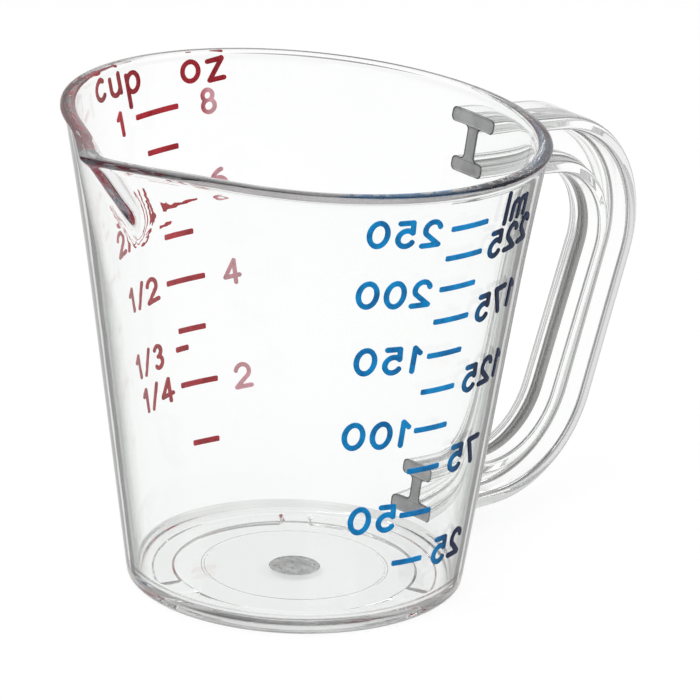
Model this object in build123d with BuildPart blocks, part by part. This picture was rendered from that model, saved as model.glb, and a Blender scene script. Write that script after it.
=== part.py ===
from build123d import *
import os
from math import cos, degrees, hypot, pi, radians, sin, tan

os.makedirs("parts", exist_ok=True)

# A clear measuring and mixing cup with a pointed spout on -X and a closed loop handle on +X. The origin is on
# the cup's axis, on the surface that it stands on. Sizes are in millimetres and angles in degrees.

# Foot and wall
foot_height = 0.6
base_radius = 28.87
taper = 0.147
wall = 2.0
floor_top = 3.0
flare_steps = (50.6, 66.0, 80.0, 92.0)
flare_out = 1.0
bottom_corner = 1.2
floor_corner = 1.2

# Slanted rim and the lip rolled round it
rim_height = 83.97
rim_slope = 0.0843
rim_rise_start = -38.0
rim_rise = 1.0
rim_rise_run = 15.0
lip_out = 0.7
lip_drop = 1.2

# Pointed spout, a slanted three-sided prism
spout_base = 60.6
spout_top = 96.0
spout_tip = -30.5
spout_lean = 0.776
spout_half_angle = 55.0
spout_arm = 29.0
spout_tip_round = 2.0

# Underside
foot_inner = 20.9
foot_outer = 24.8
foot_gap = 13.0
foot_gap_middles = (47.0, 167.0, 287.0)
foot_gap_reach = 30.0
recess_depth = 0.3
fine_ring_radius = 15.9
fine_ring_width = 0.5
fine_ring_depth = 0.1
gate_disc_radius = 4.35
gate_disc_depth = 0.3
gate_dome_radius = 3.0
gate_dome_depth = 1.1

# Handle, its two faces in the XZ plane as corners and the radii that round them
outer_face = ((10.0, 81.35), (81.5, 69.55), (59.2, 4.6), (10.0, 4.6))
outer_radii = (22.0, 23.0)
inner_face = ((10.0, 70.2), (70.3, 60.25), (52.4, 10.5), (10.0, 17.07))
inner_radii = (12.0, 15.0)
outer_flange_width = 10.9
inner_flange_width = 7.8
flange = 2.6
web = 2.6
flange_round = 0.8

# Raised ink strokes, with half the width and height of the signs' centre lines
relief = 0.3
stroke = 0.95
wide = 1.62
tall = 2.25
low = 1.7
pitch = 5.0
ounce = 29.5735
red_size = 0.88
red_stroke = 0.76
word_stroke = 0.85
line_corner = 0.2

# The two scales lean a little: their columns drift round the wall, in degrees per millimetre of height
scale_middle = 40.6
blue_drift = 0.076
blue_turn = 2.7
red_drift = 0.164
red_turn = 6.0

# Places on the wall as azimuths, and as azimuth and height for the units
blue_line = (-98.5, -86.5)
blue_spout_edge = -99.4
blue_handle_edge = -83.5
blue_edge_drift = 0.04
blue_lean = 3.4
blue_lean_drift = 0.07
ml_place = (-72.0, 76.5)
red_long_line = (77.1, 91.5)
red_line = (79.0, 89.5)
red_short_line = (86.5, 91.5)
ounce_middle = 68.2
fraction_edge = 94.5
fraction_drift = 1.2
third_edge = 96.0
cup_place = (104.0, 80.9)
cup_rise = -7.0
oz_place = (74.8, 79.4)
oz_rise = -3.0

# Room round the form for the solids that cut it
beyond = 60.0
below = -5.0
overlap = 0.1
sign_depth = 2.0


def wall_radius(height):
    """Radius of the outer wall above the surface that the cup stands on, where the flare is a smooth curve."""
    straight = base_radius + taper * (height - foot_height)
    past = max(0.0, height - flare_steps[0]) / (flare_steps[-1] - flare_steps[0])
    return straight + flare_out * past ** 2


def fill_height(millilitres):
    """Height of the liquid's surface when the cup holds this volume."""
    floor_radius = wall_radius(floor_top) - wall
    cubed = floor_radius ** 3 + 3 * taper * millilitres * 1000 / pi
    return floor_top + (cubed ** (1 / 3) - floor_radius) / taper


def rim_level(x):
    """Height of the rim's slanted plane."""
    return rim_height - rim_slope * x


def turned(bottom, grow):
    """The round wall's form as a solid of revolution, with its outside moved out by grow."""
    with BuildPart() as form:
        with BuildSketch(Plane.XZ):
            with BuildLine():
                outline = [(wall_radius(z) + grow, z) for z in (bottom, *flare_steps)]
                Polyline(*outline, (0, flare_steps[-1]), (0, bottom), close=True)
            make_face()
        revolve(axis=Axis.Z)
    return form.part


def spout_prism(grow):
    """The spout's slanted prism, with its two faces moved out by grow."""
    half = radians(spout_half_angle)
    across = 1 / sin(half)
    oblique = hypot(1, spout_lean * sin(half))
    tip = spout_tip - grow * across * oblique
    inside = tip + spout_arm * cos(half)
    side = spout_arm * sin(half)
    rise = spout_top - spout_base
    with BuildPart() as prism:
        with BuildSketch(Plane.XY.offset(spout_base)) as plan:
            with BuildLine():
                Polyline((tip, 0), (inside, side), (inside, -side), close=True)
            make_face()
            fillet(plan.vertices().sort_by(Axis.X)[0], spout_tip_round + 0.6 * grow)
        extrude(amount=rise * hypot(1, spout_lean), dir=(-spout_lean, 0, 1))
    return prism.part


def below_rim(drop):
    """Everything under the rim's surface, and under it by drop, as a block."""
    start = (rim_rise_start, rim_level(rim_rise_start) - drop)
    run = rim_rise_start + beyond
    tip = (-beyond, rim_level(-beyond) + rim_rise * (run / rim_rise_run) ** 2 - drop)
    with BuildPart() as block:
        with BuildSketch(Plane.XZ):
            with BuildLine():
                Line((beyond, rim_level(beyond) - drop), start)
                TangentArc(start, tip, tangent=(-1, rim_slope))
                Polyline(tip, (-beyond, below), (beyond, below), (beyond, rim_level(beyond) - drop))
            make_face()
        extrude(amount=beyond, both=True)
    return block.part


def cup_form(bottom, grow):
    """Wall and spout together, before the rim is cut."""
    with BuildPart() as form:
        add(turned(bottom, grow))
        add(spout_prism(grow))
    return form.part


outside = cup_form(foot_height, 0)
under_lip = below_rim(lip_drop)
under_top = below_rim(0)

with BuildPart() as lip_band:
    add(cup_form(floor_top, lip_out))
    add(under_top, mode=Mode.INTERSECT)
    add(under_lip, mode=Mode.SUBTRACT)

with BuildPart() as cavity:
    add(cup_form(floor_top, -wall))
    bottom_edge = cavity.edges().group_by(Axis.Z)[0]
    fillet(bottom_edge, floor_corner)

with BuildPart() as cup_body:
    add(outside)
    fillet(cup_body.edges().group_by(Axis.Z)[0], bottom_corner)
    add(under_top, mode=Mode.INTERSECT)
    add(lip_band.part)
    add(cavity.part, mode=Mode.SUBTRACT)
    with BuildSketch(Plane.XY):
        Circle(foot_outer)
        Circle(foot_inner, mode=Mode.SUBTRACT)
        for middle in foot_gap_middles:
            with BuildLine():
                left = radians(middle - foot_gap / 2)
                right = radians(middle + foot_gap / 2)
                corner_a = (foot_gap_reach * cos(left), foot_gap_reach * sin(left))
                corner_b = (foot_gap_reach * cos(right), foot_gap_reach * sin(right))
                Polyline((0, 0), corner_a, corner_b, close=True)
            make_face(mode=Mode.SUBTRACT)
    extrude(amount=foot_height)
    with BuildSketch(Plane.XY.offset(foot_height)):
        Circle(foot_inner)
    extrude(amount=recess_depth, mode=Mode.SUBTRACT)
    under_face = foot_height + recess_depth
    with BuildSketch(Plane.XY.offset(under_face)):
        Circle(fine_ring_radius + fine_ring_width / 2)
        Circle(fine_ring_radius - fine_ring_width / 2, mode=Mode.SUBTRACT)
    extrude(amount=fine_ring_depth, mode=Mode.SUBTRACT)
    with BuildSketch(Plane.XY.offset(under_face)):
        Circle(gate_disc_radius)
    extrude(amount=gate_disc_depth, mode=Mode.SUBTRACT)
    dome_base = under_face + gate_disc_depth
    dome_ball = (gate_dome_radius ** 2 + gate_dome_depth ** 2) / (2 * gate_dome_depth)
    with BuildSketch(Plane.XZ):
        with BuildLine():
            top = (0, dome_base + gate_dome_depth)
            edge = (gate_dome_radius, dome_base)
            RadiusArc(top, edge, dome_ball)
            Polyline(edge, (gate_dome_radius, dome_base - overlap), (0, dome_base - overlap), top)
        make_face()
    revolve(axis=Axis.Z, mode=Mode.SUBTRACT)
cup_body.part.label = "cup_body"


def handle_face(corners, radii, grow):
    """The region inside a face of the handle's loop, drawn in the XZ plane and moved out by grow."""
    with BuildSketch(Plane.XZ) as region:
        with BuildLine():
            FilletPolyline(*corners, radius=radii, close=False)
            Line(corners[-1], corners[0])
        make_face()
        if grow:
            offset(amount=grow)
    return region.sketch


def flange_loop(outside_region, inside_region, width):
    """One flange of the handle, the band between two outlines, with its long edges rounded."""
    with BuildPart() as loop:
        with BuildSketch(Plane.XZ):
            add(outside_region)
            add(inside_region, mode=Mode.SUBTRACT)
        extrude(amount=width / 2, both=True)
        sides = loop.faces().filter_by(Axis.Y)
        fillet(sides.edges(), flange_round)
    return loop.part


outer_whole = handle_face(outer_face, outer_radii, 0)
outer_hollow = handle_face(outer_face, outer_radii, -flange)
inner_whole = handle_face(inner_face, inner_radii, flange)
inner_hollow = handle_face(inner_face, inner_radii, 0)

with BuildPart() as handle:
    add(flange_loop(outer_whole, outer_hollow, outer_flange_width))
    add(flange_loop(inner_whole, inner_hollow, inner_flange_width))
    with BuildSketch(Plane.XZ):
        add(outer_whole)
        add(inner_hollow, mode=Mode.SUBTRACT)
    extrude(amount=web / 2, both=True)
    add(turned(below, 0), mode=Mode.SUBTRACT)
handle.part.label = "handle"


def arc(x, y, radius, start, end):
    """Three points of a circle's arc, from one angle to the other."""
    angles = (start, (start + end) / 2, end)
    return [(x + radius * cos(radians(a)), y + radius * sin(radians(a))) for a in angles]


strokes = {
    "1": [[(-0.9, 1.2), (0.2, tall), (0.2, -tall)]],
    "2": [[arc(-0.1, tall - 1.45, 1.45, 165, -35), (-wide, -tall), (wide, -tall)]],
    "3": [[arc(-0.1, 1.15, 1.1, 150, -90), arc(-0.1, -1.1, 1.15, 90, -150)]],
    "4": [[(0.7, tall), (0.7, -tall)], [(0.7, tall), (-wide, -0.9), (wide, -0.9)]],
    "5": [[(1.3, tall), (-1.1, tall), (-1.25, 0.25), arc(-0.1, -0.75, 1.5, 138, -145)]],
    "6": [[arc(1.2, -0.75, 2.95, 100, 180)]],
    "7": [[(-wide, tall), (wide, tall), (-0.5, -tall)]],
    "/": [[(-1.1, -tall), (1.1, tall)]],
    "m": [[(-2.3, -low), (-2.3, low)], [arc(-1.15, 0.55, 1.15, 180, 0), (0, -low)],
          [arc(1.15, 0.55, 1.15, 180, 0), (2.3, -low)]],
    "l": [[(0, -low), (0, -low + 5.6)]],
    "c": [[arc(0, 0, low, 50, 310)]],
    "u": [[(-1.4, low), (-1.4, -0.3), arc(0, -0.3, 1.4, 180, 360)], [(1.4, low), (1.4, -low)]],
    "p": [[(-1.4, low), (-1.4, -4.0)]],
    "z": [[(-1.4, low), (1.4, low), (-1.4, -low), (1.4, -low)]],
}
rings = {
    "0": [(0, 0, wide, tall)],
    "6": [(0, -0.85, 1.45, 1.4)],
    "8": [(0, 1.15, 1.1, 1.1), (0, -1.0, 1.3, 1.25)],
    "o": [(0, 0, wide, low)],
    "p": [(0.1, 0, 1.5, low)],
}
advance = {"1": 3.4, "m": 6.2, "l": 2.6, "/": 3.6}


def centre_line(pieces):
    """One wire through points and three-point arcs."""
    with BuildLine() as line:
        last = None
        for piece in pieces:
            if isinstance(piece, list):
                if last and hypot(piece[0][0] - last[0], piece[0][1] - last[1]) > 1e-6:
                    Line(last, piece[0])
                ThreePointArc(*piece)
                last = piece[-1]
            else:
                if last:
                    Line(last, piece)
                last = piece
    return line.wire()


wires = {name: [centre_line(pieces) for pieces in lines] for name, lines in strokes.items()}


def wall_plane(azimuth, height, turn):
    """Plane on the outer wall, read from inside the cup: x runs against the azimuth, y up the wall."""
    a = radians(azimuth)
    t = radians(turn)
    across = Vector(sin(a), -cos(a), 0)
    upward = Vector(taper * cos(a), taper * sin(a), 1).normalized()
    x_dir = across * cos(t) + upward * sin(t)
    radius = wall_radius(height)
    return Plane((radius * cos(a), radius * sin(a), height), x_dir=x_dir, z_dir=across.cross(upward))


def around(azimuth, height, along):
    """Azimuth that lies along the wall from another one, in the direction of reading."""
    return azimuth - degrees(along / wall_radius(height))


def glyph(name, plane, size, thickness):
    """One raised sign on a plane of the wall, thick enough to reach through the ink's layer."""
    half = thickness / 2
    with BuildSketch(plane) as outline:
        for x, y, rx, ry in rings.get(name, []):
            with Locations((x * size, y * size)):
                Ellipse(rx * size + half, ry * size + half)
        for x, y, rx, ry in rings.get(name, []):
            with Locations((x * size, y * size)):
                Ellipse(rx * size - half, ry * size - half, mode=Mode.SUBTRACT)
        for wire in wires.get(name, []):
            SlotArc(scale(wire, by=size, mode=Mode.PRIVATE).wire(), thickness)
    extrude(outline.sketch, amount=sign_depth, both=True)


def row_width(text, size=1.0):
    """Room that a row of signs takes along the wall."""
    return sum(size * advance.get(sign, pitch) for sign in text)


def write(text, azimuth, height, turn, rise, size=1.0, thickness=stroke):
    """A row of signs whose middle is at this place, rising along the reading direction by rise degrees."""
    widths = [row_width(sign, size) for sign in text]
    along = -sum(widths) / 2
    for sign, width in zip(text, widths):
        middle = along + width / 2
        up = middle * tan(radians(rise))
        glyph(sign, wall_plane(around(azimuth, height, middle), height + up, turn), size, thickness)
        along += width


def line_mark(start, end, height, turn, thickness):
    """A straight line between two azimuths."""
    length = radians(abs(end - start)) * wall_radius(height)
    with BuildSketch(wall_plane((start + end) / 2, height, turn)) as outline:
        RectangleRounded(length, thickness, line_corner)
    extrude(outline.sketch, amount=sign_depth, both=True)


wall_form = turned(floor_top, 0)
ink_form = turned(floor_top, relief)


def keep_ink():
    """Cuts the marks of the part being made down to the layer of ink on the wall."""
    add(ink_form, mode=Mode.INTERSECT)
    add(wall_form, mode=Mode.SUBTRACT)


def finish_mark(mark, name):
    """Names a mark and writes it."""
    mark.part.label = name
    export_step(mark.part, "parts/" + name + ".step")


# Blue scale on the -Y wall, its numbers in turn towards the spout and towards the handle
for step in range(1, 11):
    volume = 25 * step
    height = fill_height(volume)
    above = height - scale_middle
    digits = str(volume)
    half_width = row_width(digits) / 2
    with BuildPart() as mark:
        drift = blue_drift * above
        line_mark(blue_line[0] + drift, blue_line[1] + drift, height, blue_turn, stroke)
        if volume % 50 == 0:
            lean = blue_lean + blue_lean_drift * above
            middle = around(blue_spout_edge + blue_edge_drift * above, height, half_width)
            write(digits, middle, height + half_width * tan(radians(lean)), blue_turn, lean)
        else:
            middle = around(blue_handle_edge + blue_edge_drift * above, height, -half_width)
            write(digits, middle, height, blue_turn, 0)
        keep_ink()
    finish_mark(mark, f"ml_mark_{volume:03d}")

with BuildPart() as unit_ml:
    write("ml", *ml_place, blue_turn, 0)
    keep_ink()
finish_mark(unit_ml, "unit_ml")

# Red scale on the +Y wall, ounces towards the handle and parts of a cup towards the spout
fractions = {8: "1", 6: "3/4", 4: "1/2", 2: "1/4"}
for ounces in range(1, 9):
    height = fill_height(ounces * ounce)
    drift = red_drift * (height - scale_middle)
    with BuildPart() as mark:
        if ounces in fractions:
            line_mark(red_long_line[0] + drift, red_long_line[1] + drift, height, 0, stroke)
            write(str(ounces), ounce_middle + drift, height, red_turn, 0, red_size, red_stroke)
            half_width = row_width(fractions[ounces], red_size) / 2
            middle = around(fraction_edge + fraction_drift * drift, height, -half_width)
            write(fractions[ounces], middle, height, red_turn, 0, red_size, red_stroke)
        else:
            line_mark(red_line[0] + drift, red_line[1] + drift, height, 0, stroke)
        keep_ink()
    finish_mark(mark, f"oz_mark_{ounces}")

for name, share, text in (("third", 1 / 3, "1/3"), ("two_thirds", 2 / 3, "2/3")):
    height = fill_height(8 * ounce * share)
    drift = red_drift * (height - scale_middle)
    half_width = row_width(text, red_size) / 2
    with BuildPart() as mark:
        line_mark(red_short_line[0] + drift, red_short_line[1] + drift, height, 0, stroke)
        middle = around(third_edge + drift, height, -half_width)
        write(text, middle, height, red_turn, 0, red_size, red_stroke)
        keep_ink()
    finish_mark(mark, "cup_mark_" + name)

with BuildPart() as unit_cup:
    write("cup", *cup_place, red_turn, cup_rise, thickness=word_stroke)
    keep_ink()
finish_mark(unit_cup, "unit_cup")

with BuildPart() as unit_oz:
    write("oz", *oz_place, red_turn, oz_rise, thickness=word_stroke)
    keep_ink()
finish_mark(unit_oz, "unit_oz")

export_step(cup_body.part, "parts/cup_body.step")
export_step(handle.part, "parts/handle.step")
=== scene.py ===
from math import atan2, cos, hypot, pi, radians, sin, sqrt, tan

import bmesh
import bpy
from mathutils import Matrix, Vector


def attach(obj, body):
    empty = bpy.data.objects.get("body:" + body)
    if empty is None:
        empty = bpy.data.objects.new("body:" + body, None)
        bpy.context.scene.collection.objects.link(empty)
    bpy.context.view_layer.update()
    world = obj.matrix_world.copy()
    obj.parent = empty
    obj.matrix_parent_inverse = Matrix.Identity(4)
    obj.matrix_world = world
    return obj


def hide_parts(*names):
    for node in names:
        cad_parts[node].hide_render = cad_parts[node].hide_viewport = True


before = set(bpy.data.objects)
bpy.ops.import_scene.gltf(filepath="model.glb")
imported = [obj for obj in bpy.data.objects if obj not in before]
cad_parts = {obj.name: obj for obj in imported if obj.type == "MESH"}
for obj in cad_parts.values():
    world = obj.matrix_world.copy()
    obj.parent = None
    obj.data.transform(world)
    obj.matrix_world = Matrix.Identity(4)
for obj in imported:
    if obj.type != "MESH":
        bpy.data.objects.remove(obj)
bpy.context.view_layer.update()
MM = 0.001

# The cup's form in millimetres, as in its solids. The origin is on the axis, on the surface it stands on.
FOOT = 0.6
BASE_RADIUS = 28.87
TAPER = 0.147
WALL = 2.0
FLOOR_TOP = 3.0
FLARE_START = 50.6
FLARE_RUN = 41.4
FLARE_OUT = 1.0
RIM_HEIGHT = 83.97
RIM_SLOPE = 0.0843
RISE_START = -38.0
RISE_RUN = 15.0
BOTTOM_CORNER = 1.2
FLOOR_CORNER = 2.0

# The skin stands this far out of the wall's solid, so that the inner faces of the ink lie inside it
SKIN = 0.1

# Spout, and how fast its prism falls away behind its two arms
SPOUT_BASE = 60.6
SPOUT_REACH = 30.5
SPOUT_LEAN = 0.776
SPOUT_HALF = radians(55)
SPOUT_SKIN = 2.893
SPOUT_BLEND = 1.6
SPOUT_BACK = 0.9
TIP_ROUND = 0.0126
TIP_ROUND_INSIDE = 0.05

# Underside: foot arcs with three gaps in degrees, recess, fine ring, and the gate's disc and dome
GAP_MIDDLES = (47, 167, 287)
GAP_HALF = 6.5
GAP_SOFT = 1.2
FOOT_INNER = 20.9
FOOT_OUTER = 24.8
STEP_RUN = 0.3
RECESS = 0.3
RING = 15.9
RING_HALF = 0.25
RING_DEPTH = 0.1
GATE_DISC = 4.35
GATE_DISC_DEPTH = 0.3
GATE_DOME = 3.0
GATE_DOME_DEPTH = 1.1

# Rim points: share of the wall's thickness, distance out, depth under the rim. The first are plain wall.
RIM_OUTSIDE = ((0, 0.10, 3.2), (0, 0.11, 2.5), (0, 0.14, 2.1), (0, 0.22, 1.8), (0, 0.35, 1.5), (0, 0.5, 1.25),
               (0, 0.62, 1.0), (0, 0.68, 0.75), (0, 0.66, 0.5), (0, 0.55, 0.27), (0, 0.33, 0.09),
               (0.03, 0.1, 0.01))
RIM_TOP = ((0.15, 0.0, 0.0), (0.4, 0.0, 0.0), (0.62, 0.0, 0.0), (0.8, 0.0, 0.03), (0.92, 0.0, 0.14))
RIM_INSIDE = ((1, 0.05, 0.35), (1, -0.02, 0.7), (1, -0.02, 1.2), (1, 0.0, 2.0), (1, 0.0, 3.0))
RIM_PLAIN = 5
RIM_TRIES = 7

# The cup's mesh: columns as start, end and step in degrees from the spout, and rings of the underside
COLUMN_STEPS = ((0, 3, 0.25), (3, 12, 0.5), (12, 45, 0.75), (45, 180, 1.25))
NEAR = 0.1
CLOSE = 0.01
STEPS = (FOOT_OUTER, FOOT_OUTER - STEP_RUN, FOOT_INNER + STEP_RUN, FOOT_INNER, RING + RING_HALF,
         RING - RING_HALF, GATE_DISC, GATE_DOME)
PLAIN_RINGS = (27.0, 25.8, 23.6, 22.2, 19.0, 17.2, RING, 13.0, 10.0, 7.0, 5.2, 3.7, 2.95, 2.85, 2.6, 2.2, 1.7,
               1.1, 0.5)
UNDER = sorted([*PLAIN_RINGS, *(r + d for r in STEPS for d in (-NEAR, -CLOSE, CLOSE, NEAR))])
WALL_ROWS = 66
INSIDE_ROWS = 56
CORNER_STEPS = 6
FLOOR_STEPS = 8
FLOOR_RINGS = (24.0, 21.0, 17.0, 13.0, 9.0, 5.0, 2.0, 0.5)
SLOT_OUTSIDE, SLOT_INSIDE, SLOT_GATE, SLOT_RIM_SHADE, SLOT_FOOT_SHADE = range(5)

# Handle, its two faces in the XZ plane, and the share of each face's ends that lies inside the cup
OUTER_FACE = ((10.0, 81.35), (81.5, 69.55), (59.2, 4.6), (10.0, 4.6))
OUTER_RADII = (22.0, 23.0)
OUTER_STARTS = (0.47, 0.44)
INNER_FACE = ((10.0, 70.2), (70.3, 60.25), (52.4, 10.5), (10.0, 17.07))
INNER_RADII = (12.0, 15.0)
INNER_STARTS = (0.52, 0.55)
FLANGE = 2.6
WEB = 2.6
OUTER_WIDTH = 10.9
INNER_WIDTH = 7.8
EDGE_ROUND = 0.9
NECK_ROUND = 0.8
ROOT_DEPTH = 0.3
ROOT_EDGE = 0.28
ROOT_TRIES = 30
END_STEPS = 14
GRIP_STEPS = 16
BEND_STEPS = 26
ROUND_STEPS = 5

# Rows of a flange's half painted as thin dark lines of shade: its two edges and its neck
PAINTED_SHADE_LINE_ROWS = (4, 10, 15, 16)
SLOT_CLEAR, SLOT_WEB_SHADE, SLOT_LINE_SHADE = range(3)


def wall_radius(z):
    """Radius of the round wall's outside."""
    past = max(0.0, z - FLARE_START) / FLARE_RUN
    return BASE_RADIUS + TAPER * (z - FOOT) + FLARE_OUT * past ** 2


def smooth_max(a, b, blend):
    """The larger of two numbers, with a soft turn where they are equal."""
    near = max(0.0, blend - abs(a - b)) / blend
    return max(a, b) + near * near * blend / 4


def reach(angle, z, inside):
    """Distance from the axis to the wall at an azimuth and height, the spout included."""
    off = abs((angle % (2 * pi)) - pi)
    off = sqrt(off * off + (TIP_ROUND_INSIDE if inside else TIP_ROUND) ** 2)
    tip = SPOUT_REACH + SPOUT_LEAN * (z - SPOUT_BASE)
    radius = wall_radius(z)
    if inside:
        tip -= SPOUT_SKIN
        radius -= WALL
    tip = max(0.0, tip)
    arm_end = pi / 2 - SPOUT_HALF
    if off < arm_end:
        wedge = tip * sin(SPOUT_HALF) / sin(SPOUT_HALF + off)
    else:
        wedge = tip * sin(SPOUT_HALF) * max(0.0, 1 - SPOUT_BACK * (off - arm_end) ** 2)
    return smooth_max(radius, wedge, SPOUT_BLEND)


def cut_level(x):
    """Height of the rim's surface, which slants and rises towards the spout."""
    past = max(0.0, RISE_START - x) / RISE_RUN
    return RIM_HEIGHT - RIM_SLOPE * x + past ** 2


def rim_point(angle, share, out, depth):
    """A point near the rim: share runs from the outer wall (0) to the inner (1), depth is below the rim."""
    z = RIM_HEIGHT
    for _ in range(RIM_TRIES):
        r = reach(angle, z, False) * (1 - share) + reach(angle, z, True) * share + out
        z = cut_level(r * cos(angle)) - depth
    return r, z


def columns():
    """Azimuths of the mesh's columns, close together round the spout's tip."""
    half = []
    for start, end, step in COLUMN_STEPS:
        half += [start + step * k for k in range(round((end - start) / step))]
    return [pi + radians(s) for s in half] + [2 * pi] + [pi - radians(s) + 2 * pi for s in half[:0:-1]]


def clamp(value):
    """A number kept between 0 and 1."""
    return min(1.0, max(0.0, value))


def foot_level(angle, r):
    """Height of the underside at a distance from the axis: foot arcs, recess, fine ring and gate."""
    if r >= FOOT_INNER:
        turn = min(abs((angle - radians(m) + pi) % (2 * pi) - pi) for m in GAP_MIDDLES)
        arc = clamp((turn - radians(GAP_HALF)) / radians(GAP_SOFT) + 0.5)
        return FOOT - FOOT * arc * clamp((r - FOOT_INNER) / STEP_RUN) * clamp((FOOT_OUTER - r) / STEP_RUN)
    level = FOOT + RECESS
    if abs(r - RING) < RING_HALF:
        level += RING_DEPTH
    if r <= GATE_DISC:
        level += GATE_DISC_DEPTH
    if r <= GATE_DOME:
        level += GATE_DOME_DEPTH * sqrt(max(0.0, 1 - (r / GATE_DOME) ** 2))
    return level


def quarter(across, along, radius, start, end, steps):
    """Points of a quarter circle in a section, from one angle to the other in degrees."""
    angles = [radians(start + (end - start) * k / steps) for k in range(steps + 1)]
    return [(across + radius * cos(a), along + radius * sin(a)) for a in angles]


def cup_rows(angle):
    """The cup's section at one azimuth, from the middle of its underside, up outside and down inside."""
    points = [(r, foot_level(angle, r)) for r in UNDER]
    low = FOOT + BOTTOM_CORNER
    corner = reach(angle, low, False) + SKIN - BOTTOM_CORNER
    points += quarter(corner, low, BOTTOM_CORNER, -90, 0, CORNER_STEPS)
    high = rim_point(angle, *RIM_OUTSIDE[0])[1]
    for k in range(1, WALL_ROWS):
        z = low + (high - low) * k / WALL_ROWS
        points.append((reach(angle, z, False) + SKIN, z))
    for place in RIM_OUTSIDE + RIM_TOP + RIM_INSIDE:
        points.append(rim_point(angle, *place))
    high = points[-1][1]
    low = FLOOR_TOP + FLOOR_CORNER
    for k in range(1, INSIDE_ROWS):
        z = high + (low - high) * k / INSIDE_ROWS
        points.append((reach(angle, z, True), z))
    corner = reach(angle, low, True) - FLOOR_CORNER
    points += quarter(corner, low, FLOOR_CORNER, 0, -90, FLOOR_STEPS)
    points += [(r, FLOOR_TOP) for r in FLOOR_RINGS]
    return points


def mesh_object(name, bm):
    """An object made of a finished bmesh."""
    data = bpy.data.meshes.new(name)
    bm.to_mesh(data)
    bm.free()
    piece = bpy.data.objects.new(name, data)
    bpy.context.scene.collection.objects.link(piece)
    return piece


def skin_object(name, loops, turned, slots):
    """A smooth mesh through loops of points, with a material slot for each row. Turned, the loops are open
    columns round an axis, closed at both ends. Otherwise they are closed rings along a run."""
    bm = bmesh.new()
    grid = [[bm.verts.new(Vector(p) * MM) for p in loop] for loop in loops]
    pairs = list(zip(grid, grid[1:]))
    rows = len(loops[0])
    if turned:
        pairs.append((grid[-1], grid[0]))
        rows -= 1
    for one, two in pairs:
        for k in range(rows):
            n = (k + 1) % len(one)
            bm.faces.new((one[k], two[k], two[n], one[n])).material_index = slots[k]
    if turned:
        bm.faces.new([column[0] for column in grid]).material_index = slots[0]
        bm.faces.new([column[-1] for column in reversed(grid)]).material_index = slots[-1]
    bmesh.ops.recalc_face_normals(bm, faces=bm.faces)
    for face in bm.faces:
        face.smooth = True
    return mesh_object(name, bm)


def make_cup():
    """The clear cup as one closed skin."""
    loops = []
    for angle in columns():
        loops.append([(r * cos(angle), r * sin(angle), z) for r, z in cup_rows(angle)])
    # The gate disc's rows get the gate material, whose grey is painted shade.
    gate = sum(1 for r in UNDER if r < GATE_DISC + 2 * CLOSE)
    slots = [SLOT_GATE] * gate + [SLOT_OUTSIDE] * (len(UNDER) - gate)
    # The bottom corner's rows are painted grey: painted shade along the foot's edge.
    slots += [SLOT_FOOT_SHADE] * (CORNER_STEPS + 1)
    slots += [SLOT_OUTSIDE] * (WALL_ROWS - 1 + RIM_PLAIN)
    # The rim's rounded outer lip is painted dark: painted shade for the rim's dark edge.
    slots += [SLOT_RIM_SHADE] * (len(RIM_OUTSIDE) - RIM_PLAIN + 1)
    slots += [SLOT_INSIDE] * (len(loops[0]) - len(slots))
    return skin_object("clear_cup", loops, True, slots)


def rounded_path(corners, radii, starts):
    """Points and inward normals along a face of the loop: straight, arc, straight, arc, straight."""
    corners = [Vector((x, z)) for x, z in corners]
    arcs = []
    for k, radius in ((1, radii[0]), (2, radii[1])):
        back = (corners[k - 1] - corners[k]).normalized()
        ahead = (corners[k + 1] - corners[k]).normalized()
        half = back.angle(ahead) / 2
        cut = radius / tan(half)
        middle = corners[k] + (back + ahead).normalized() * (radius / sin(half))
        arcs.append((corners[k] + back * cut, middle, corners[k] + ahead * cut, radius))
    first = corners[0] + (corners[1] - corners[0]) * starts[0]
    last = corners[3] + (corners[2] - corners[3]) * starts[1]
    path = []

    def straight(a, b, count):
        run = (b - a).normalized()
        for k in range(count):
            path.append((a + (b - a) * (k / count), Vector((run.y, -run.x))))

    def bend(a, middle, b, radius):
        one = atan2(a.y - middle.y, a.x - middle.x)
        two = atan2(b.y - middle.y, b.x - middle.x)
        while two > one:
            two -= 2 * pi
        for k in range(BEND_STEPS):
            t = one + (two - one) * k / BEND_STEPS
            spoke = Vector((cos(t), sin(t)))
            path.append((middle + spoke * radius, -spoke))

    straight(first, arcs[0][0], END_STEPS)
    bend(*arcs[0])
    straight(arcs[0][2], arcs[1][0], GRIP_STEPS)
    bend(*arcs[1])
    straight(arcs[1][2], last, END_STEPS)
    run = (last - arcs[1][2]).normalized()
    path.append((last, Vector((run.y, -run.x))))
    return path


def half_section(width):
    """A flange's half on the side +Y, down to the web: depth below the face, distance from the middle."""
    edge = width / 2 - EDGE_ROUND
    points = [(0.0, 0.0), (0.0, WEB / 2)]
    points += quarter(EDGE_ROUND, edge, EDGE_ROUND, 180, 90, ROUND_STEPS)
    points += quarter(FLANGE - EDGE_ROUND, edge, EDGE_ROUND, 90, 0, ROUND_STEPS)
    points += quarter(FLANGE + NECK_ROUND, WEB / 2 + NECK_ROUND, NECK_ROUND, 180, 270, ROUND_STEPS)
    return points


def handle_section(outer, outer_in, inner, inner_in):
    """The closed I section between a point of the outer face and its partner on the inner face."""
    side = [(outer + outer_in * d, y) for d, y in half_section(OUTER_WIDTH)]
    side += [(inner - inner_in * d, y) for d, y in reversed(half_section(INNER_WIDTH))]
    points = [(p.x, y, p.y) for p, y in side]
    points += [(p.x, -y, p.y) for p, y in reversed(side[1:-1])]
    return points


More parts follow.
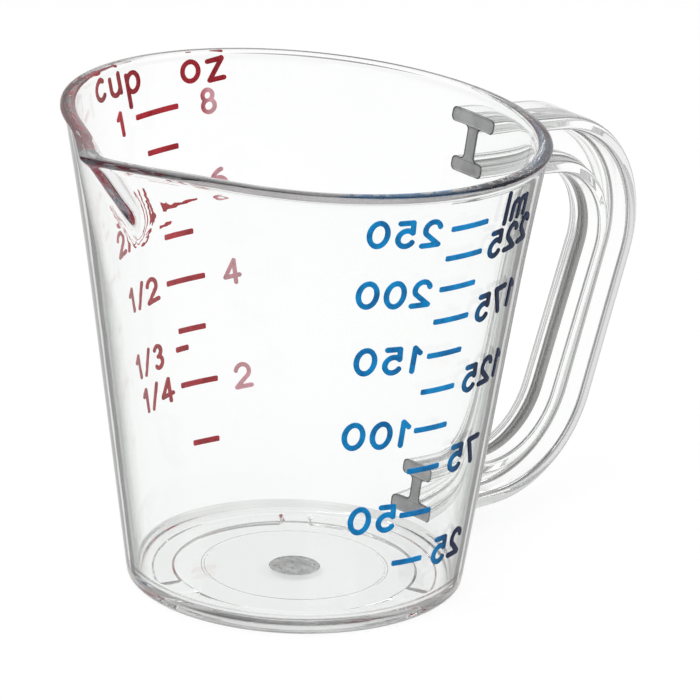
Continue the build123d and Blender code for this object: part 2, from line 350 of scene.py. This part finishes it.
def meet_wall(points, ahead):
    """Moves a section's points back along the handle until they are just inside the cup's wall."""
    moved = []
    for point, following in zip(points, ahead):
        p = Vector(point)
        run = (Vector(following) - p).normalized()
        for _ in range(ROOT_TRIES):
            p -= run * (hypot(p.x, p.y) - (wall_radius(p.z) - ROOT_DEPTH))
        moved.append(tuple(p))
    return moved


def handle_slots(count):
    """Material slots of the section's rows, the same on both sides."""
    inner_middle = count // 2
    slots = [SLOT_CLEAR] * count
    # These rows get thin dark lines of painted shade.
    for k in PAINTED_SHADE_LINE_ROWS:
        for row in (k, inner_middle - 1 - k):
            slots[row] = slots[-1 - row] = SLOT_LINE_SHADE
    # The middle rows of the finger face get a near-black band of painted shade.
    slots[inner_middle - 1] = slots[inner_middle] = SLOT_WEB_SHADE
    return slots


def make_root_shade_sheets(ends):
    """Two I-shaped sheets of painted grey shade where the handle meets the wall, each with a narrow, darker
    painted border.
    """
    bm = bmesh.new()
    for loop in ends:
        ring = [bm.verts.new(Vector(p) * MM) for p in loop]
        for k in range(len(ring) // 2):
            strip = (ring[k], ring[k + 1], ring[(-k - 1) % len(ring)], ring[-k % len(ring)])
            bm.faces.new(list(dict.fromkeys(strip)))
    bmesh.ops.recalc_face_normals(bm, faces=bm.faces)
    inset = bmesh.ops.inset_region(bm, faces=bm.faces[:], thickness=ROOT_EDGE * MM, use_boundary=True)
    for face in inset["faces"]:
        face.material_index = 1
    return mesh_object("handle_root_shade_sheets", bm)


def make_handle():
    """The clear handle, an I section swept round its loop, and two I-shaped sheets of painted shade where it
    meets the wall.
    """
    outer = rounded_path(OUTER_FACE, OUTER_RADII, OUTER_STARTS)
    inner = rounded_path(INNER_FACE, INNER_RADII, INNER_STARTS)
    loops = [handle_section(a, n, b, m) for (a, n), (b, m) in zip(outer, inner)]
    loops[0] = meet_wall(loops[0], loops[1])
    loops[-1] = meet_wall(loops[-1], loops[-2])
    handle = skin_object("clear_handle", loops, False, handle_slots(len(loops[0])))
    return handle, make_root_shade_sheets((loops[0], loops[-1]))


# Colours of the clear plastic. FLOW_TINTS is a faint random tone of the plastic; the rim, foot, web and line
# tints are painted shade. The painted edge bands, shade with one painted light band, run from seen square on
# (0) to seen along the surface (1).
CLEAR = (0.99, 0.995, 0.992)
FLOW_TINTS = ((0.965, 0.975, 0.97), CLEAR)
RIM_PAINTED_SHADE = ((0.08, 0.075, 0.08), (0.3, 0.285, 0.29))
FOOT_PAINTED_SHADE = ((0.4, 0.4, 0.4), (0.8, 0.8, 0.79))
WEB_BAND_PAINTED_SHADE = ((0.02, 0.02, 0.02), (0.2, 0.2, 0.195))
LINE_PAINTED_SHADE = ((0.1, 0.1, 0.1), (0.4, 0.4, 0.39))
PAINTED_EDGE_SHADE_AND_LIGHT = ((0.0, CLEAR), (0.55, (0.95, 0.96, 0.95)), (0.62, (0.68, 0.7, 0.68)), (0.66, (0.4, 0.42, 0.4)),
              (0.69, (0.2, 0.22, 0.2)), (0.71, (0.28, 0.29, 0.28)), (0.73, (0.04, 0.045, 0.04)),
              (0.785, (0.003, 0.003, 0.003)), (0.8, (0.75, 0.74, 0.72)), (0.82, (0.75, 0.74, 0.72)),
              (0.835, (0.01, 0.01, 0.01)), (1.0, (0.002, 0.002, 0.002)))
PLASTIC_IOR = 1.53

# The room's grey by height, from straight down (0) to straight up (1)
ROOM = ((0.0, (1, 1, 1)), (0.56, (1, 1, 1)), (0.66, (0.8, 0.81, 0.8)), (0.86, (0.65, 0.66, 0.65)),
        (1.0, (0.9, 0.9, 0.9)))
WHITE = (1.0, 1.0, 1.0, 1.0)


class Nodes:
    """A short way to put nodes into a material or the world."""

    def __init__(self, owner):
        owner.use_nodes = True
        self.tree = owner.node_tree
        self.tree.nodes.clear()

    def add(self, kind, inputs=None, **settings):
        node = self.tree.nodes.new(kind)
        for key, value in settings.items():
            setattr(node, key, value)
        for key, value in (inputs or {}).items():
            if isinstance(value, bpy.types.NodeSocket):
                self.tree.links.new(value, node.inputs[key])
            else:
                node.inputs[key].default_value = value
        return node

    def place(self):
        return self.add("ShaderNodeTexCoord").outputs["Object"]

    def part(self, vector, axis):
        return self.add("ShaderNodeSeparateXYZ", {0: vector}).outputs[axis]

    def stretched(self, vector, height):
        return self.add("ShaderNodeMapping", {"Vector": vector, "Scale": (1.0, 1.0, height)}).outputs[0]

    def noise(self, vector, scale, detail, roughness=0.5):
        inputs = {"Vector": vector, "Scale": scale, "Detail": detail, "Roughness": roughness}
        return self.add("ShaderNodeTexNoise", inputs).outputs[0]

    def span(self, value, start, end, low, high):
        inputs = {"Value": value, "From Min": start, "From Max": end, "To Min": low, "To Max": high}
        return self.add("ShaderNodeMapRange", inputs).outputs[0]

    def bump(self, height, strength, distance):
        inputs = {"Height": height, "Strength": strength, "Distance": distance}
        return self.add("ShaderNodeBump", inputs).outputs[0]

    def math(self, operation, a, b=0.0):
        return self.add("ShaderNodeMath", {0: a, 1: b}, operation=operation).outputs[0]

    def ramp(self, factor, stops):
        node = self.add("ShaderNodeValToRGB", {"Fac": factor})
        band = node.color_ramp
        while len(band.elements) < len(stops):
            band.elements.new(0.5)
        for element, (place, colour) in zip(band.elements, stops):
            element.position = place
            element.color = (*colour, 1.0)
        return node.outputs["Color"]

    def mix(self, factor, one, two):
        return self.add("ShaderNodeMixShader", {0: factor, 1: one.outputs[0], 2: two.outputs[0]})


def new_material(name):
    """An empty material and its nodes."""
    material = bpy.data.materials.new(name)
    return material, Nodes(material)


def finish_material(n, shader):
    """Makes a shader the material's surface."""
    n.add("ShaderNodeOutputMaterial", {"Surface": shader.outputs[0]})


def depth_share(n, path):
    """How much white a ray still finds: less after each reflection inside the plastic."""
    return n.span(path.outputs["Glossy Depth"], 0.0, 3.0, 1.0, 0.45)


def painted_edge_shade_and_light(n, place):
    """Painted shade: dark bands where an upright outside is seen on edge, with one painted light band among
    them, weaker round the spout.
    """
    facing = n.add("ShaderNodeLayerWeight", {"Blend": 0.5}).outputs["Facing"]
    streaks = n.noise(n.stretched(place, 0.08), 700.0, 4.0, 0.65)
    shift = n.math("MULTIPLY", n.math("SUBTRACT", streaks, 0.5), 0.04)
    surface = n.add("ShaderNodeNewGeometry").outputs
    lying = n.math("ABSOLUTE", n.part(surface["Normal"], "Z"))
    upright = n.span(lying, 0.35, 0.7, 1.0, 0.0)
    spout = n.span(n.part(place, "X"), -0.04, -0.036, 0.66, 1.0)
    entering = n.math("SUBTRACT", 1.0, surface["Backfacing"])
    amount = n.math("MULTIPLY", n.math("MULTIPLY", upright, spout), entering)
    return n.ramp(n.math("MULTIPLY", n.math("ADD", facing, shift), amount), PAINTED_EDGE_SHADE_AND_LIGHT)


def clear_plastic(name, tints=None):
    """Clear moulded plastic with faint flow waves and hairline wear. With no tints it has the painted edge
    bands, painted shade with one painted light band. Given tints follow the flow waves; all but the inside's
    faint ones are painted shade.
    """
    material, n = new_material(name)
    place = n.place()
    waves = n.noise(n.stretched(place, 0.35), 42.0, 2.0, 0.4)
    tint = n.ramp(waves, ((0.3, tints[0]), (0.7, tints[1]))) if tints else painted_edge_shade_and_light(n, place)
    wear = n.noise(place, 900.0, 3.0, 0.6)
    glass = n.add("ShaderNodeBsdfPrincipled", {
        "Base Color": tint, "Roughness": n.span(wear, 0.45, 0.8, 0.0, 0.03), "IOR": PLASTIC_IOR,
        "Transmission Weight": 1.0, "Normal": n.bump(waves, 0.12, 0.0006),
        "Specular Tint": (0.22, 0.22, 0.22, 1.0)})
    through = n.add("ShaderNodeBsdfTransparent", {"Color": (0.955, 0.957, 0.957, 1.0)})
    path = n.add("ShaderNodeLightPath")
    lighting = n.math("MAXIMUM", path.outputs["Is Shadow Ray"], path.outputs["Is Diffuse Ray"])
    finish_material(n, n.mix(lighting, glass, through))
    return material


def ink(name, deep, bright, side, start, end, gloss):
    """Printed ink on a raised stroke, darker in patches at random. From start to end along X it blends into a
    painted side tone: painted shade that darkens the blue marks there, and painted light that pales the plain
    red ones.
    """
    material, n = new_material(name)
    place = n.place()
    patch = n.noise(place, 320.0, 4.0, 0.6)
    grain = n.noise(place, 2600.0, 2.0)
    amount = n.math("ADD", n.math("MULTIPLY", patch, 0.75), n.math("MULTIPLY", grain, 0.25))
    colour = n.ramp(amount, ((0.38, deep), (0.6, bright)))
    other = n.ramp(amount, ((0.38, tuple(0.7 * c for c in side)), (0.6, side)))
    share = n.span(n.part(place, "X"), start, end, 0.0, 1.0)
    tone = n.add("ShaderNodeMix", {0: share, 6: colour, 7: other}, data_type="RGBA").outputs[2]
    finish_material(n, n.add("ShaderNodeBsdfPrincipled", {
        "Base Color": tone, "Roughness": n.span(patch, 0.0, 1.0, gloss, gloss + 0.2),
        "Normal": n.bump(grain, 0.2, 0.0001), "Specular IOR Level": 0.25}))
    return material


def gate_shade_grey():
    """The frosted pip under the floor's middle, where the moulding was fed, with painted grey shade in its
    colour.
    """
    material, n = new_material("gate_shade_grey")
    cloud = n.noise(n.place(), 700.0, 3.0, 0.6)
    colour = n.ramp(cloud, ((0.35, (0.2, 0.2, 0.2)), (0.65, (0.55, 0.55, 0.55))))
    finish_material(n, n.add("ShaderNodeBsdfPrincipled", {
        "Base Color": colour, "Roughness": n.span(cloud, 0.0, 1.0, 0.15, 0.45), "IOR": PLASTIC_IOR,
        "Transmission Weight": 0.55}))
    return material


def painted_root_shade(name, deep, pale):
    """Painted grey shade for the I-shaped sheets where the handle meets the wall, seen through the wall."""
    material, n = new_material(name)
    cloud = n.noise(n.place(), 260.0, 3.0, 0.55)
    colour = n.ramp(cloud, ((0.3, (deep, deep, deep)), (0.7, (pale, pale, pale))))
    finish_material(n, n.add("ShaderNodeBsdfPrincipled", {
        "Base Color": colour, "Roughness": n.span(cloud, 0.0, 1.0, 0.35, 0.6)}))
    return material


def floor_white():
    """A pale floor: lit by the lamps, and topped up to white for the rays that look at it."""
    material, n = new_material("floor_white")
    path = n.add("ShaderNodeLightPath")
    bounced = n.math("MAXIMUM", path.outputs["Is Glossy Ray"], path.outputs["Is Transmission Ray"])
    looks = n.math("MAXIMUM", path.outputs["Is Camera Ray"], bounced)
    lit = n.add("ShaderNodeBsdfDiffuse", {"Color": (0.6, 0.6, 0.6, 1.0)})
    fill = n.add("ShaderNodeEmission", {"Color": WHITE, "Strength": n.math("MULTIPLY", looks, 0.5)})
    both = n.add("ShaderNodeAddShader", {0: lit.outputs[0], 1: fill.outputs[0]})
    dim = n.add("ShaderNodeEmission", {"Color": (0.3, 0.3, 0.3, 1.0), "Strength": 1.0})
    lost = n.math("MULTIPLY", n.math("SUBTRACT", 1.0, depth_share(n, path)), looks)
    finish_material(n, n.mix(lost, both, dim))
    return material


def make_world():
    """White low down, where the object's background is, and grey higher up, for the edges of the plastic."""
    world = bpy.data.worlds.new("studio")
    bpy.context.scene.world = world
    n = Nodes(world)
    height = n.part(n.add("ShaderNodeTexCoord").outputs["Generated"], "Z")
    room = n.ramp(n.span(height, -1.0, 1.0, 0.0, 1.0), ROOM)
    path = n.add("ShaderNodeLightPath")
    seen = n.add("ShaderNodeBackground", {"Color": WHITE, "Strength": 1.0})
    looked = n.add("ShaderNodeBackground", {"Color": room, "Strength": depth_share(n, path)})
    lamp = n.add("ShaderNodeBackground", {"Color": WHITE, "Strength": 0.55})
    bounced = n.math("MAXIMUM", path.outputs["Is Glossy Ray"], path.outputs["Is Transmission Ray"])
    shown = n.mix(path.outputs["Is Camera Ray"], n.mix(bounced, lamp, looked), seen)
    n.add("ShaderNodeOutputWorld", {"Surface": shown.outputs[0]})


# Camera, lamps and floor, in metres, but the lens and sensor in millimetres. The view is the photo's.
CAMERA_PLACE = (-1.758171, -1.876195, 1.03152)
CAMERA_RIGHT = (0.73577, -0.67642, 0.03315)
CAMERA_AHEAD = (0.64036, 0.67896, -0.3591)
CAMERA_LENS = 822.86
SENSOR_WIDTH = 36.0
LAMP_TARGET = (0, 0, 0.04)
FLOOR_REACH = 20
FLOOR_DROP = 0.0002
BOUNCES = 48


def softbox(name, place, size, power):
    """A square lamp that faces the cup."""
    data = bpy.data.lights.new(name, "AREA")
    data.shape = "RECTANGLE"
    data.size = size
    data.size_y = size
    data.energy = power
    lamp = bpy.data.objects.new(name, data)
    lamp.location = place
    lamp.rotation_euler = (Vector(LAMP_TARGET) - Vector(place)).to_track_quat("-Z", "Y").to_euler()
    bpy.context.scene.collection.objects.link(lamp)


def make_camera():
    """Adds the camera and sets it as the scene's camera."""
    data = bpy.data.cameras.new("camera")
    data.lens = CAMERA_LENS
    data.sensor_width = SENSOR_WIDTH
    data.sensor_fit = "HORIZONTAL"
    data.clip_start = 0.1
    data.clip_end = 60.0
    camera = bpy.data.objects.new("camera", data)
    right = Vector(CAMERA_RIGHT).normalized()
    ahead = Vector(CAMERA_AHEAD).normalized()
    spin = Matrix((right, right.cross(ahead), -ahead)).transposed().to_4x4()
    camera.matrix_world = Matrix.Translation(Vector(CAMERA_PLACE)) @ spin
    bpy.context.scene.collection.objects.link(camera)
    bpy.context.scene.camera = camera


def make_floor():
    """The floor, a little under the cup's foot."""
    corners = ((-1, -1), (1, -1), (1, 1), (-1, 1))
    points = [(x * FLOOR_REACH, y * FLOOR_REACH, -FLOOR_DROP) for x, y in corners]
    data = bpy.data.meshes.new("floor")
    data.from_pydata(points, [], [(0, 1, 2, 3)])
    data.materials.append(floor_white())
    floor = bpy.data.objects.new("floor", data)
    bpy.context.scene.collection.objects.link(floor)
    return floor


def give(piece, *materials):
    """Fills a piece's material slots in order."""
    for material in materials:
        piece.data.materials.append(material)


make_camera()

# This plastic's base colour holds the painted edge bands of shade and light.
plastic = clear_plastic("clear_plastic")
cup = make_cup()
give(cup, plastic, clear_plastic("clear_plastic_inside", FLOW_TINTS), gate_shade_grey(),
     clear_plastic("clear_plastic_rim_painted_shade", RIM_PAINTED_SHADE), clear_plastic("clear_plastic_foot_painted_shade", FOOT_PAINTED_SHADE))
handle, root_shade_sheets = make_handle()
give(handle, plastic, clear_plastic("clear_plastic_edge_painted_shade", WEB_BAND_PAINTED_SHADE),
     clear_plastic("clear_plastic_line_painted_shade", LINE_PAINTED_SHADE))
# The root sheets are painted grey shade, their borders darker painted shade.
give(root_shade_sheets, painted_root_shade("painted_root_shade", 0.3, 0.5), painted_root_shade("painted_root_edge_shade", 0.04, 0.12))
for piece in (cup, handle, root_shade_sheets):
    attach(piece, "root")
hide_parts("cup_body")
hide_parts("handle")

# The side tones are painted: near-black blue is painted shade on the marks towards +X, seen on edge; pale
# pink is painted light on the plain red marks there.
blue = ink("blue_ink", deep=(0.0, 0.16, 0.45), bright=(0.0, 0.34, 0.8), side=(0.0, 0.012, 0.06),
           start=0.003, end=0.008, gloss=0.5)
red = ink("red_ink", deep=(0.36, 0.005, 0.014), bright=(0.6, 0.016, 0.034), side=(0.9, 0.45, 0.5),
          start=0.0095, end=0.0115, gloss=0.45)
deep_red = ink("deep_red_ink", deep=(0.26, 0.003, 0.01), bright=(0.46, 0.009, 0.024),
               side=(0.46, 0.009, 0.024), start=0.0, end=0.01, gloss=0.45)
for name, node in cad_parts.items():
    if name in ("cup_body", "handle"):
        continue
    if name.startswith("ml_") or name == "unit_ml":
        chosen = blue
    elif name.startswith("unit_"):
        chosen = deep_red
    else:
        chosen = red
    node.data.materials.clear()
    node.data.materials.append(chosen)

floor = make_floor()

make_world()
softbox("key", (-0.9, -0.3, 1.3), 0.9, 9.0)
softbox("fill", (0.9, -0.9, 1.0), 0.7, 4.0)

bpy.context.scene.view_settings.view_transform = "Standard"
paths = bpy.context.scene.cycles
paths.max_bounces = BOUNCES
paths.glossy_bounces = BOUNCES
paths.transmission_bounces = BOUNCES
